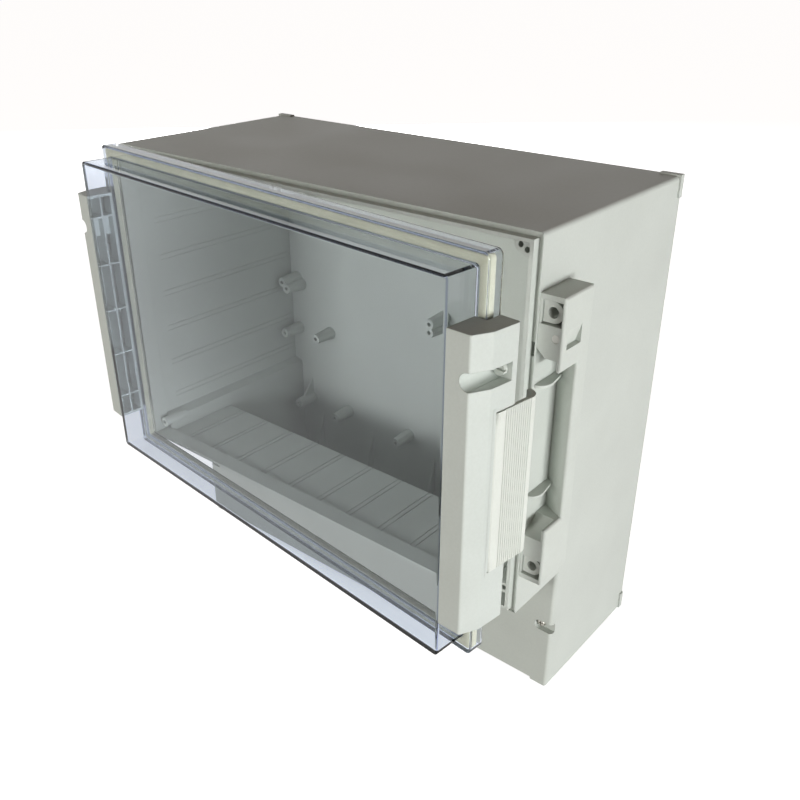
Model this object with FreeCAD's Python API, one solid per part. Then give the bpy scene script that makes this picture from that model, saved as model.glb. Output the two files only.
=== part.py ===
"""Moulded wall enclosure with a clear hinged hood, all lengths in millimetres.

+Z is up, +X is to the right seen from the front, and the front faces -Y. The pieces are drawn
with y = 0 on the rim's front edge and z = 0 under the feet, and the lid is drawn closed. The lid
is then turned open about the root of the left flap to the angle it rests at, and everything is
moved so that the origin is the centre of the flat back, which goes against the wall.
"""
import FreeCAD, Part
import math
import os

Vector = FreeCAD.Vector

# Housing
WIDTH = 400.0
HEIGHT = 382.0
DEPTH = 184.0
WALL = 3.5
EDGE_ROUND = 3.0
CHAMBER_HEIGHT = 113.0
CHAMBER_RECESS = 57.5
FOOT_HEIGHT = 2.0
PAD_WIDTH = 15.0
PAD_RISE = 1.2

# Front rim and the neck that the gasket presses on
RIM_DEPTH = 10.0
NECK_INSET = 3.5
NECK_THICKNESS = 2.5
NECK_STAND = 4.5
GROOVE_WIDTH = 2.8
GROOVE_DEPTH = 1.2

# Platform, ledges and moulded wall lines inside the housing
PLATFORM_DEPTH = 79.0
LEDGE_HEIGHT = 20.0
LEDGE_INSET = 9.5
LEDGE_SLOPE = 3.0
LINE_PITCH = 33.3
LINE_SPACING = 4.5
LINE_WIDTH = 1.0
LINE_DEPTH = 0.5
LINE_MARGIN = 14.0

# Screw bosses on the back wall: their sizes, and their places from the rim and the side walls
BOSS_LENGTH = 22.0
BOSS_TIP = 4.8
BOSS_ROOT = 6.6
BOSS_BORE = 1.9
BOSS_BORE_DEPTH = 16.0
BOSS_SIDES = 12
BOSS_RIB_RISE = 24.0
BOSS_RIB_HALF = 1.0
GUSSET_RISE = 42.0
GUSSET_DEPTH = 11.0
GUSSET_TOP_DROP = 33.0
GUSSET_STEP = 32.0
GUSSET_STEP_OUTER = 14.0
TWIN_SPACING = 8.0
BOSS_INSET = 12.5
BOSS_STEP_IN = 44.5
BOSS_ROW_DROP = 21.5
BOSS_ROW_OUTER = 15.0
BOSS_ROW_MIDDLE = 67.5
BOSS_ROW_INNER = 39.0
BOSS_LOW_DROP = 79.0
BOSS_RISE = 55.0

# Screw pillars inside the front rim
PILLAR_RADIUS = 4.4
PILLAR_BORE = 1.8
PILLAR_LENGTH = 24.0
PILLAR_SET_BACK = 2.0
PILLAR_GAP = 1.0
PILLAR_WEB = 3.0
TOP_TWIN_X = -18.0
TOP_TWIN_DROP = 4.0

# Side brackets
BRACKET_STAND = 17.0
BRACKET_FRONT = 1.0
BRACKET_DEPTH = 33.0
BRACKET_HALF = 101.0
BRACKET_DROP = 1.5
UPPER_BLOCK = 46.5
LOWER_BLOCK = 43.5
BRACKET_ROUND = 1.6
RAIL_OUTER = 13.5
RAIL_INNER = 4.6
LEG = 2.8
LEG_RISE = 7.0
LEG_DEPTH = 23.0
SCOOP_RADIUS = 24.0
SCOOP_SET_OUT = 3.0
SCOOP_RISE = 14.6
POCKET_WIDTH = 14.0
POCKET_HEIGHT = 15.0
POCKET_DEPTH = 27.0
SKIN = 1.3
SLEEVE_INSET = 11.0
SLEEVE_RADIUS = 6.7
SLEEVE_BORE = 3.5
SLEEVE_LENGTH = 25.0
SLEEVE_FIT = 0.3
PLUG_RADIUS = 2.6
PLUG_DEPTH = 2.0
PLUG_FIT = 0.05
PLUG_DROP = 26.0
PLUG_OFFSET = 12.0
PLUG_SINK = 0.4
RECESS_SILL = 13.5
RECESS_RISE = 12.0
RECESS_DEPTH = 3.6
RECESS_SET_BACK = 5.0
RECESS_LENGTH = 16.5

# Catch fins on the brackets: each swells to a crest and falls back to the rail
FIN_THICKNESS = 2.0
FIN_SPAN = 39.5
FIN_FRONT = 1.6
FIN_CREST = 7.2
FIN_CREST_BACK = 10.0
FIN_FALL = 0.17

# Hood and its flange
HOOD_MARGIN = 8.5
HOOD_WALL = 2.5
HOOD_ROUND = 3.2
HOOD_BEVEL = 0.9
HOOD_FRONT = 37.0
FLANGE_OVERHANG = 1.0
FLANGE_FRONT = 14.0
FLANGE_PLATE = 2.5
FLANGE_LIP = 2.2
FLANGE_CLEAR = 2.4
FLANGE_ROUND = 4.0
GASKET_FIT = 0.3
GASKET_THICKNESS = 6.4

# Strips on the hood's sides
STRIP_HALF = 98.8
STRIP_WALL = 2.2
STRIP_FIT = 0.2
STRIP_SIDE = 15.2
STRIP_BEND = 14.2
STRIP_FRONT = 9.0
STRIP_BEND_BACK = 13.5
STRIP_FRONT_BACK = 2.0
STRIP_REAR = 2.6
STRIP_ROUND = 1.6
RIB_THICKNESS = 1.3
RIB_PITCH = 40.0
CHANNEL_RADIUS = 5.6
CHANNEL_RISE = 71.5
CHANNEL_OFFSET = 8.0
CHANNEL_BACK = 5.0

# Flaps
FLAP_THICKNESS = 2.6
FLAP_BELOW = 58.0
FLAP_ABOVE = 49.5
FLAP_GAP = 0.5
FLAP_ROOT = 17.0
FLAP_RUNNING = 0.3
HOOK_RADIUS = 7.4
HOOK_BACK = 11.6
HOOK_CATCH = 0.7
FLARE_ANGLE = 2.5
GRIP_PITCH = 1.9
GRIP_DEPTH = 0.4
GRIP_COUNT = 12

# Screws
LOCK_HEAD_RADIUS = 4.0
LOCK_HEAD_HEIGHT = 3.0
LOCK_SHANK_RADIUS = 2.0
LOCK_FIT = 0.05
LOCK_SLOT = 1.2
CHAMBER_SCREW_HEIGHT = 58.0
CHAMBER_SCREW_INSET = 11.0
CHAMBER_SLOT_HALF = 4.2
CHAMBER_SLOT_DEPTH = 5.0
SEAT_BACKING = 2.0
SEAT_REACH = 6.0
CHAMBER_HEAD_RADIUS = 3.6
CHAMBER_HEAD_HEIGHT = 2.6
CHAMBER_SHANK_RADIUS = 2.0
CROSS_HALF = 0.45
INSERT_RADIUS = 3.1
INSERT_LENGTH = 9.0
INSERT_FIT = 0.02
INSERT_SIDES = 6

# Rest pose
LID_REST_ANGLE = 5.3

# Places worked out from the sizes above
HALF = WIDTH / 2
RIM_BOTTOM = CHAMBER_HEIGHT
RIM_MIDDLE = (HEIGHT + RIM_BOTTOM) / 2
RIM_HALF = (HEIGHT - RIM_BOTTOM) / 2
PLATFORM_TOP = RIM_BOTTOM + WALL
FLOOR_TOP = FOOT_HEIGHT + WALL
BACK_INNER = DEPTH - WALL
LEDGE_TOP = RIM_BOTTOM + LEDGE_HEIGHT
LEDGE_FACE = HALF - WALL - LEDGE_INSET
BRACKET_MIDDLE = RIM_MIDDLE - BRACKET_DROP
BRACKET_SIDE = HALF + BRACKET_STAND
BRACKET_BACK = BRACKET_FRONT + BRACKET_DEPTH
SLEEVE_HALF_SPAN = BRACKET_HALF - SLEEVE_INSET
UPPER_BOTTOM = BRACKET_MIDDLE + BRACKET_HALF - UPPER_BLOCK
LOWER_TOP = BRACKET_MIDDLE - BRACKET_HALF + LOWER_BLOCK
SLEEVE_X = HALF + SKIN + SLEEVE_RADIUS + SLEEVE_FIT
HOOD_HALF_X = HALF + FLANGE_OVERHANG - HOOD_MARGIN
HOOD_HALF_Z = RIM_HALF + FLANGE_OVERHANG - HOOD_MARGIN
FLANGE_HALF_X = HALF + FLANGE_OVERHANG
FLANGE_HALF_Z = RIM_HALF + FLANGE_OVERHANG
FLAP_FACE = HALF + STRIP_SIDE
HOOK_X = FLAP_FACE - HOOK_RADIUS
HOOK_TIP = HALF + FIN_CREST - HOOK_CATCH
FLAP_BOTTOM = RIM_MIDDLE - FLAP_BELOW
FLAP_TOP = RIM_MIDDLE + FLAP_ABOVE
FLAP_ROOT_X = FLAP_FACE - FLAP_THICKNESS / 2
CHANNEL_X = HALF + CHANNEL_OFFSET
CHANNEL_Z = RIM_MIDDLE + CHANNEL_RISE
BACK_MIDDLE = (HEIGHT + FOOT_HEIGHT) / 2
PLUG_X = HALF + PLUG_OFFSET
PLUG_Z = BRACKET_MIDDLE + BRACKET_HALF - PLUG_DROP


def block(x_range, y_range, z_range):
    """A box between two corners."""
    low = Vector(x_range[0], y_range[0], z_range[0])
    return Part.makeBox(x_range[1] - low.x, y_range[1] - low.y, z_range[1] - low.z, low)


def rod(x, z, radius, y_range):
    """A cylinder that runs front to back."""
    return Part.makeCylinder(radius, y_range[1] - y_range[0], Vector(x, y_range[0], z), Vector(0, 1, 0))


def taper(x, z, tip, root, y_range):
    """A cone that runs front to back, tip to the front."""
    return Part.makeCone(tip, root, y_range[1] - y_range[0], Vector(x, y_range[0], z), Vector(0, 1, 0))


def faceted(x, z, radii, y_range, sides):
    """A straight or tapered post with flat sides that runs front to back."""
    ends = []
    for radius, y in zip(radii, y_range):
        turns = [2 * math.pi * index / sides for index in range(sides + 1)]
        corners = [Vector(x + radius * math.cos(t), y, z + radius * math.sin(t)) for t in turns]
        ends.append(Part.makePolygon(corners))
    return Part.makeLoft(ends, True, True)


def upright_prism(points, z_range):
    """A plan outline of (x, y) points raised between two heights."""
    corners = [Vector(x, y, z_range[0]) for x, y in points]
    face = Part.Face(Part.makePolygon(corners + corners[:1]))
    return face.extrude(Vector(0, 0, z_range[1] - z_range[0]))


def side_prism(points, x_range):
    """A side outline of (y, z) points run between two values of x."""
    corners = [Vector(x_range[0], y, z) for y, z in points]
    face = Part.Face(Part.makePolygon(corners + corners[:1]))
    return face.extrude(Vector(x_range[1] - x_range[0], 0, 0))


def front_prism(points, y_range):
    """A front outline of (x, z) points run between two values of y."""
    corners = [Vector(x, y_range[0], z) for x, z in points]
    face = Part.Face(Part.makePolygon(corners + corners[:1]))
    return face.extrude(Vector(0, y_range[1] - y_range[0], 0))


def mirrored(shape):
    """The same piece on the other side of the box."""
    return shape.mirror(Vector(0, 0, 0), Vector(1, 0, 0))


def frame_ring(half_x, half_z, width, y_range, middle=RIM_MIDDLE):
    """A rectangular ring seen from the front, with its outer half sizes and its width."""
    outer = block((-half_x, half_x), y_range, (middle - half_z, middle + half_z))
    inner_x = half_x - width
    inner_z = half_z - width
    longer = (y_range[0] - 1, y_range[1] + 1)
    return outer.cut(block((-inner_x, inner_x), longer, (middle - inner_z, middle + inner_z)))


def edges_along(shape, direction, test):
    """The straight edges that run along a direction and whose middle passes a test."""
    found = []
    for edge in shape.Edges:
        if edge.Curve.TypeId != "Part::GeomLine":
            continue
        if abs(abs(edge.tangentAt(edge.FirstParameter).dot(direction)) - 1) > 1e-6:
            continue
        if test(edge.CenterOfMass):
            found.append(edge)
    return found


def arc_points(centre, radius, start, end, count):
    """Points on an arc in plan, angles in degrees from +X towards +Y."""
    step = (end - start) / (count - 1)
    angles = [math.radians(start + step * index) for index in range(count)]
    return [(centre[0] + radius * math.cos(a), centre[1] + radius * math.sin(a)) for a in angles]


def housing_outside():
    """The stepped outer body: full depth above, set back below, with rounded long edges."""
    outline = [
        (0, RIM_BOTTOM),
        (0, HEIGHT),
        (DEPTH, HEIGHT),
        (DEPTH, 0),
        (CHAMBER_RECESS, 0),
        (CHAMBER_RECESS, RIM_BOTTOM),
    ]
    body = side_prism(outline, (-HALF, HALF))
    long_edges = edges_along(body, Vector(0, 1, 0), lambda p: abs(p.z - RIM_BOTTOM) > 1)
    upright = edges_along(body, Vector(0, 0, 1), lambda p: 1 < p.y < DEPTH - 1)
    return body.makeFillet(EDGE_ROUND, long_edges + upright)


def corner_pads():
    """The slightly proud pads at the back corners."""
    pads = []
    for side in (-1, 1):
        proud = sorted((side * (HALF - PAD_WIDTH), side * (HALF + PAD_RISE)))
        pads.append(block(proud, (DEPTH - 5, DEPTH), (FOOT_HEIGHT, FOOT_HEIGHT + PAD_WIDTH)))
        pads.append(block(proud, (DEPTH - 5, DEPTH), (HEIGHT - PAD_WIDTH, HEIGHT + PAD_RISE)))
    return pads


def between_feet():
    """What is left out under the floor, so that the box stands on its four corners."""
    under = (-1, FOOT_HEIGHT)
    inner = HALF - PAD_WIDTH
    along = block((-inner, inner), (CHAMBER_RECESS - 1, DEPTH + 1), under)
    across = block((-HALF - 1, HALF + 1), (CHAMBER_RECESS + PAD_WIDTH, DEPTH - PAD_WIDTH), under)
    return along.fuse(across)


def upper_space():
    """The hollow behind the rim, with rounded corners, and the narrower way in through the rim."""
    half_x = HALF - WALL
    hollow = block((-half_x, half_x), (RIM_DEPTH, BACK_INNER), (PLATFORM_TOP, HEIGHT - WALL))
    hollow = hollow.makeFillet(EDGE_ROUND, edges_along(hollow, Vector(0, 1, 0), lambda p: p.z > RIM_MIDDLE))
    inset = NECK_INSET + NECK_THICKNESS
    mouth_x = HALF - inset
    mouth = block((-mouth_x, mouth_x), (-1, RIM_DEPTH + 1), (RIM_BOTTOM + inset, HEIGHT - inset))
    return hollow.fuse(mouth)


def ledges():
    """The sloped ledge along each side wall, with the thin wall that hangs from it to the floor."""
    outer = HALF - WALL + 0.5
    outline = [
        (LEDGE_FACE, FLOOR_TOP - 0.5),
        (LEDGE_FACE, LEDGE_TOP - LEDGE_SLOPE),
        (outer, LEDGE_TOP),
        (outer, LEDGE_TOP - 2 * LEDGE_SLOPE),
        (LEDGE_FACE + WALL, LEDGE_TOP - 3 * LEDGE_SLOPE),
        (LEDGE_FACE + WALL, FLOOR_TOP - 0.5),
    ]
    upper = front_prism(outline, (RIM_DEPTH - 0.5, BACK_INNER + 0.5))
    lower_front = block((LEDGE_FACE - 1, HALF), (0, CHAMBER_RECESS + 0.5), (0, RIM_BOTTOM + 0.5))
    ledge = upper.cut(lower_front)
    return [ledge, mirrored(ledge)]


def chamber_space():
    """The hollow of the lower chamber, open upwards behind the platform."""
    half_x = HALF - WALL
    front = CHAMBER_RECESS + WALL
    under = block((-half_x, half_x), (front, BACK_INNER), (FLOOR_TOP, RIM_BOTTOM))
    opening = block((-half_x, half_x), (PLATFORM_DEPTH, BACK_INNER), (RIM_BOTTOM - 1, PLATFORM_TOP + 1))
    return under.fuse(opening)


def ledge_cores():
    """The slots under the ledges that keep the moulding's walls even; they open downwards."""
    low_x = LEDGE_FACE + WALL
    reach = (CHAMBER_RECESS + EDGE_ROUND + PAD_WIDTH + 1, DEPTH - PAD_WIDTH - 1)
    core = block((low_x, HALF - WALL), reach, (-1, FLOOR_TOP + 1))
    return [core, mirrored(core)]


def line_pair(place):
    """Offsets of the two shallow moulded lines of one pair about its place."""
    return (place - LINE_SPACING / 2, place + LINE_SPACING / 2)


def moulded_lines():
    """Pairs of shallow lines front to back: on both side walls and across the platform."""
    cuts = []
    wall_face = HALF - WALL
    count = int((HEIGHT - LEDGE_TOP - 2 * LINE_MARGIN) // LINE_PITCH) + 1
    for index in range(count):
        for z in line_pair(LEDGE_TOP + LINE_MARGIN + LINE_PITCH * index):
            reach = (RIM_DEPTH + LINE_MARGIN, BACK_INNER - LINE_WIDTH)
            line = block((wall_face - 1, wall_face + LINE_DEPTH), reach, (z, z + LINE_WIDTH))
            cuts += [line, mirrored(line)]
    span = int(LEDGE_FACE // LINE_PITCH)
    for index in range(-span, span + 1):
        for x in line_pair(LINE_PITCH * index):
            across = (x - LINE_WIDTH / 2, x + LINE_WIDTH / 2)
            reach = (RIM_DEPTH + LINE_WIDTH, PLATFORM_DEPTH + 1)
            cuts.append(block(across, reach, (PLATFORM_TOP - LINE_DEPTH, PLATFORM_TOP + 1)))
    return cuts


def boss_places():
    """Centres of the back wall's screw bosses, as (x, z), from the chamber's top and the walls."""
    row = RIM_BOTTOM - BOSS_ROW_DROP
    low = RIM_MIDDLE - BOSS_LOW_DROP
    high = low + BOSS_RISE
    side = HALF - BOSS_INSET
    places = [(0, high - 5), (0, high - 5 + TWIN_SPACING)]
    for sign in (-1, 1):
        places += [(sign * side, low), (sign * (side - BOSS_STEP_IN), low + 5)]
        places += [(sign * side, high), (sign * (side - 0.75 * TWIN_SPACING), high - 0.7 * TWIN_SPACING)]
        places += [(sign * (side - BOSS_ROW_OUTER), row), (sign * (side - BOSS_ROW_MIDDLE), row)]
        places.append((sign * BOSS_ROW_INNER, row))
    return places


def back_bosses():
    """Tapered screw bosses on the back wall and their bores, round where a plate is screwed on."""
    solids = []
    bores = []
    tip_y = BACK_INNER - BOSS_LENGTH
    reach = (tip_y - 1, tip_y + BOSS_BORE_DEPTH)
    for x, z in boss_places():
        solids.append(faceted(x, z, (BOSS_TIP, BOSS_ROOT), (tip_y, BACK_INNER + 1), BOSS_SIDES))
        if abs(x) > HALF - BOSS_INSET - 1:
            bores.append(rod(x, z, BOSS_BORE, reach))
        else:
            bores.append(faceted(x, z, (BOSS_BORE, BOSS_BORE), reach, BOSS_SIDES))
    return solids, bores


def boss_ribs():
    """Triangular stiffening ribs above the outer bosses of the lower row."""
    ribs = []
    for x, z in boss_places():
        if z > RIM_BOTTOM or abs(x) < HALF - BOSS_INSET - BOSS_ROW_OUTER - 1:
            continue
        outline = [
            (BACK_INNER + 1, z),
            (BACK_INNER - BOSS_LENGTH + 4, z),
            (BACK_INNER + 1, z + BOSS_RIB_RISE),
        ]
        ribs.append(side_prism(outline, (x - BOSS_RIB_HALF, x + BOSS_RIB_HALF)))
    return ribs


def back_gussets():
    """Small triangular gussets low on the back wall, each set in from a boss of the lower row."""
    outline = [
        (BACK_INNER + 1, RIM_BOTTOM - GUSSET_TOP_DROP - GUSSET_RISE),
        (BACK_INNER - GUSSET_DEPTH, RIM_BOTTOM - GUSSET_TOP_DROP - GUSSET_RISE),
        (BACK_INNER + 1, RIM_BOTTOM - GUSSET_TOP_DROP),
    ]
    side = HALF - BOSS_INSET
    inner = BOSS_ROW_INNER - GUSSET_STEP
    middle = side - BOSS_ROW_MIDDLE - GUSSET_STEP
    outer = side - BOSS_ROW_OUTER - GUSSET_STEP_OUTER
    places = [-outer, -middle, -inner, inner, middle, outer]
    return [side_prism(outline, (x - BOSS_RIB_HALF, x + BOSS_RIB_HALF)) for x in places]


def front_pillars():
    """Small screw pillars inside the front rim: the corners and one twin in the top."""
    inner = HALF - NECK_INSET - NECK_THICKNESS
    top = HEIGHT - NECK_INSET - NECK_THICKNESS
    bottom = LEDGE_TOP - PILLAR_RADIUS
    near = PILLAR_RADIUS + PILLAR_GAP
    drop = TOP_TWIN_DROP
    places = [(TOP_TWIN_X - 3, top - drop), (TOP_TWIN_X + 3, top - drop - 2.5)]
    for sign in (-1, 1):
        places += [(sign * (inner - near), top - near - 1), (sign * (inner - near - 4.5), top - drop)]
        places.append((sign * (inner - near), bottom))
    reach = (PILLAR_SET_BACK, PILLAR_SET_BACK + PILLAR_LENGTH)
    solids = []
    for x, z in places:
        pillar = faceted(x, z, (PILLAR_RADIUS, PILLAR_RADIUS), reach, BOSS_SIDES)
        half = PILLAR_WEB / 2
        depth = (reach[0] + 1, reach[1])
        if z > RIM_MIDDLE:
            web = block((x - half, x + half), depth, (z, HEIGHT - WALL + 0.5))
        else:
            wide = sorted((x, math.copysign(HALF - WALL + 0.5, x)))
            web = block(wide, depth, (z - half, z + half))
        solids.append(pillar.fuse(web))
    deep = (reach[0] - 1, reach[0] + PILLAR_LENGTH / 2)
    bores = [faceted(x, z, (PILLAR_BORE, PILLAR_BORE), deep, BOSS_SIDES) for x, z in places]
    return solids, bores


def neck_groove():
    """The narrow groove between the outer wall's front edge and the neck."""
    return frame_ring(HALF - NECK_INSET + GROOVE_WIDTH, RIM_HALF - NECK_INSET + GROOVE_WIDTH,
                      GROOVE_WIDTH, (-1, GROOVE_DEPTH))


def clip_slots():
    """Dark slots in the groove where the brackets' clips pass, beside the upper blocks."""
    low = UPPER_BOTTOM + 6
    inner = HALF - NECK_INSET
    slot = block((inner, inner + GROOVE_WIDTH), (-1, RIM_DEPTH - 2), (low, low + 9))
    return [slot, mirrored(slot)]


def chamber_screw_seat():
    """The thickened corner behind each chamber screw and the U slot that is open to the side."""
    x = HALF - CHAMBER_SCREW_INSET
    z = CHAMBER_SCREW_HEIGHT
    half = CHAMBER_SLOT_HALF
    front = CHAMBER_RECESS
    back = front + CHAMBER_SLOT_DEPTH + INSERT_LENGTH
    seat = block((LEDGE_FACE - SEAT_REACH, HALF - 1), (front + 1, back + SEAT_BACKING),
                 (z - half - WALL, z + half + WALL))
    slot = rod(x, z, half, (front - 1, front + CHAMBER_SLOT_DEPTH))
    slot = slot.fuse(block((x, HALF + 1), (front - 1, front + CHAMBER_SLOT_DEPTH), (z - half, z + half)))
    radius = INSERT_RADIUS + INSERT_FIT
    hole = faceted(x, z, (radius, radius), (front + 1, back), INSERT_SIDES)
    return seat, slot.fuse(hole)


def housing():
    """The whole moulded box in one piece."""
    body = housing_outside()
    neck = frame_ring(HALF - NECK_INSET, RIM_HALF - NECK_INSET, NECK_THICKNESS, (-NECK_STAND, 1))
    body = body.cut(between_feet()).multiFuse([neck] + corner_pads())
    body = body.cut([upper_space(), chamber_space()])
    boss_solids, boss_bores = back_bosses()
    pillar_solids, pillar_bores = front_pillars()
    seat, seat_cut = chamber_screw_seat()
    added = ledges() + boss_solids + boss_ribs() + back_gussets() + pillar_solids
    added += [seat, mirrored(seat)]
    body = body.multiFuse(added)
    cuts = ledge_cores() + moulded_lines() + boss_bores + pillar_bores + clip_slots()
    cuts += [neck_groove(), seat_cut, mirrored(seat_cut)]
    return body.cut(cuts).removeSplitter()


def bracket_blocks():
    """The two end blocks and the rear rail of the right bracket, with softened outer edges."""
    blocks = []
    for low, high in (
        (BRACKET_MIDDLE - BRACKET_HALF, LOWER_TOP),
        (UPPER_BOTTOM, BRACKET_MIDDLE + BRACKET_HALF),
    ):
        blocks.append(block((HALF, BRACKET_SIDE), (BRACKET_FRONT, BRACKET_BACK), (low, high)))
    slant = [(HALF, BRACKET_BACK - RAIL_INNER), (BRACKET_SIDE, BRACKET_BACK - RAIL_OUTER)]
    back = [(BRACKET_SIDE, BRACKET_BACK), (HALF, BRACKET_BACK)]
    rail = upright_prism(slant + back, (LOWER_TOP - 1, UPPER_BOTTOM + 1))
    body = blocks[0].multiFuse([blocks[1], rail]).removeSplitter()
    edges = []
    for direction in (Vector(0, 1, 0), Vector(0, 0, 1)):
        edges += edges_along(body, direction, lambda p: p.x > BRACKET_SIDE - 0.1)
    return body.makeFillet(BRACKET_ROUND, edges)


def catch_fins():
    """Two thin fins on the wall, elliptic up to the crest, that the flap's lip snaps behind."""
    crest_y = BRACKET_FRONT + FIN_CREST_BACK
    rise = []
    for index in range(9):
        turn = math.radians(90 - index * 90 / 8)
        rise.append((HALF + FIN_CREST * math.cos(turn), crest_y - (crest_y - FIN_FRONT) * math.sin(turn)))
    end_y = BRACKET_BACK - RAIL_INNER + 1
    plan = rise + [(HALF + FIN_CREST - FIN_FALL * (end_y - crest_y), end_y), (HALF, end_y)]
    fins = []
    for z in (RIM_MIDDLE - FIN_SPAN, RIM_MIDDLE + FIN_SPAN):
        fins.append(upright_prism(plan, (z - FIN_THICKNESS / 2, z + FIN_THICKNESS / 2)))
    return fins


def sleeve_pockets():
    """Square pockets from the front for the sleeves, with screw holes through behind them."""
    cuts = []
    low_x = HALF + SKIN
    for sign in (-1, 1):
        z = BRACKET_MIDDLE + sign * SLEEVE_HALF_SPAN
        half = POCKET_HEIGHT / 2
        reach = (BRACKET_FRONT - 1, BRACKET_FRONT + POCKET_DEPTH)
        cuts.append(block((low_x, low_x + POCKET_WIDTH), reach, (z - half, z + half)))
        cuts.append(rod(SLEEVE_X, z, SLEEVE_BORE, (reach[1] - 1, BRACKET_BACK + 1)))
    return cuts


def side_recess():
    """The scooped notch in the upper block's side, with a flat sill at the bottom."""
    sill = UPPER_BOTTOM + RECESS_SILL
    outline = [
        (BRACKET_SIDE - RECESS_DEPTH, sill),
        (BRACKET_SIDE + 1, sill),
        (BRACKET_SIDE + 1, sill + RECESS_RISE),
        (BRACKET_SIDE, sill + RECESS_RISE),
    ]
    start = BRACKET_FRONT + RECESS_SET_BACK
    return front_prism(outline, (start, start + RECESS_LENGTH))


def block_opening():
    """The open bottom of the upper block, between the wall and the outer leg, bevelled inside."""
    top = UPPER_BOTTOM + LEG_RISE
    outline = [
        (HALF - 1, UPPER_BOTTOM - 1),
        (BRACKET_SIDE - LEG, UPPER_BOTTOM - 1),
        (BRACKET_SIDE - LEG, top),
        (HALF + 6, top),
        (HALF - 1, top + 6),
    ]
    return front_prism(outline, (BRACKET_FRONT - 1, BRACKET_FRONT + LEG_DEPTH))


def finger_scoop():
    """The hollow in the lower block's top, between the wall and the outer leg."""
    centre = Vector(HALF - 1, BRACKET_FRONT - SCOOP_SET_OUT, LOWER_TOP + SCOOP_RISE)
    width = BRACKET_STAND - LEG + 1
    cylinder = Part.makeCylinder(SCOOP_RADIUS, width, centre, Vector(1, 0, 0))
    reach = (BRACKET_FRONT - 1, BRACKET_BACK - RAIL_OUTER)
    height = (LOWER_TOP - LOWER_BLOCK, LOWER_TOP + 1)
    return cylinder.common(block((HALF - 1, HALF - 1 + width), reach, height))


def bracket():
    """The right bracket with everything moulded on it."""
    reach = (BRACKET_FRONT - 1, BRACKET_FRONT + PLUG_DEPTH)
    plug_hole = rod(PLUG_X, PLUG_Z, PLUG_RADIUS + PLUG_FIT, reach)
    body = bracket_blocks()
    body = body.cut(sleeve_pockets() + [side_recess(), block_opening(), finger_scoop(), plug_hole])
    return body.multiFuse(catch_fins()).removeSplitter()


def fixing_sleeve(sign):
    """One round sleeve with a flat back towards the wall, seated at the bottom of its pocket."""
    z = BRACKET_MIDDLE + sign * SLEEVE_HALF_SPAN
    back = BRACKET_FRONT + POCKET_DEPTH
    reach = (back - SLEEVE_LENGTH, back)
    body = rod(SLEEVE_X, z, SLEEVE_RADIUS, reach)
    flat = SLEEVE_X - SLEEVE_RADIUS
    body = body.fuse(block((flat, SLEEVE_X), reach, (z - SLEEVE_RADIUS, z + SLEEVE_RADIUS)))
    bore = rod(SLEEVE_X, z, SLEEVE_BORE, (reach[0] - 1, reach[1] + 1))
    return body.cut(bore).removeSplitter()


def blank_plug():
    """The round plug in the front of the upper block."""
    return rod(PLUG_X, PLUG_Z, PLUG_RADIUS, (BRACKET_FRONT + PLUG_SINK, BRACKET_FRONT + PLUG_DEPTH))


def pan_screw(x, z, seat_y, head, shank, reach):
    """A screw with a tapered head and a cross recess, its head's underside at seat_y."""
    head_radius, head_height = head
    top = seat_y - head_height
    head_solid = taper(x, z, head_radius * 0.75, head_radius, (top, seat_y))
    body = head_solid.fuse(rod(x, z, shank, (seat_y, seat_y + reach)))
    deep = (top - 1, seat_y - head_height * 0.4)
    arm = head_radius * 0.5
    cross = block((x - arm, x + arm), deep, (z - CROSS_HALF, z + CROSS_HALF))
    cross = cross.fuse(block((x - CROSS_HALF, x + CROSS_HALF), deep, (z - arm, z + arm)))
    return body.cut(cross)


def screw_insert():
    """The hexagonal insert in the chamber's corner that the chamber screw goes into."""
    x = HALF - CHAMBER_SCREW_INSET
    front = CHAMBER_RECESS + CHAMBER_SLOT_DEPTH
    reach = (front, front + INSERT_LENGTH)
    body = faceted(x, CHAMBER_SCREW_HEIGHT, (INSERT_RADIUS, INSERT_RADIUS), reach, INSERT_SIDES)
    through = (front - 1, front + INSERT_LENGTH + 1)
    bore = rod(x, CHAMBER_SCREW_HEIGHT, CHAMBER_SHANK_RADIUS + INSERT_FIT, through)
    return body.cut(bore)


def chamber_screw():
    """The pan head screw in the lower chamber's U slot."""
    x = HALF - CHAMBER_SCREW_INSET
    seat = CHAMBER_RECESS + CHAMBER_SLOT_DEPTH
    head = (CHAMBER_HEAD_RADIUS, CHAMBER_HEAD_HEIGHT)
    return pan_screw(x, CHAMBER_SCREW_HEIGHT, seat, head, CHAMBER_SHANK_RADIUS, INSERT_LENGTH - 1)


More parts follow.
